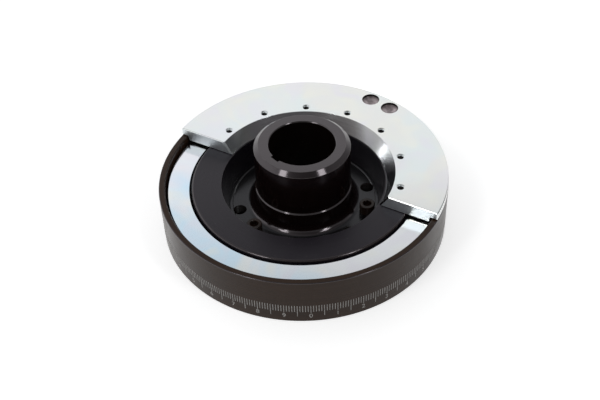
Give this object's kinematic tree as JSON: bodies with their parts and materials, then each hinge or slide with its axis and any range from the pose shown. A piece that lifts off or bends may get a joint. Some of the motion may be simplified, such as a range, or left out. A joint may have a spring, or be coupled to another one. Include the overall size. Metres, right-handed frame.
{
  "type": "harmonic balancer",
  "caption": "Crankshaft damper: a steel inertia ring on rubber rings between two shells, a keyed hub with a seal sleeve, and a half-ring counterweight for external balance.",
  "frame": {"origin": "crank axis at the front face of the outer shell, on which the part rests", "axes": "+Z along the crank axis towards the engine (sleeve end), +Y through the middle of the counterweight, +X along the counterweight's cut faces"},
  "size_m": [0.1796, 0.1796, 0.0596],
  "materials": {
    "shell_black": "black oxide, satin",
    "plate_black": "black oxide, semi-gloss",
    "hub_black": "black oxide, semi-gloss",
    "zinc_ring": "bright zinc plate",
    "zinc_weight": "bright zinc plate",
    "screw_black": "black oxide",
    "rubber": "matt"
  },
  "bodies": {
    "root": {"outer_shell": "shell_black", "inner_shell": "plate_black", "inertia_ring": "zinc_ring", "hub": "hub_black", "hub_screws": "screw_black", "counterweight": "zinc_weight", "counterweight_screws": "screw_black", "shell_screws": "screw_black", "outer_o_ring_front": "rubber", "outer_o_ring_rear": "rubber", "inner_o_ring_front": "rubber", "inner_o_ring_rear": "rubber"}
  },
  "joints": []
}
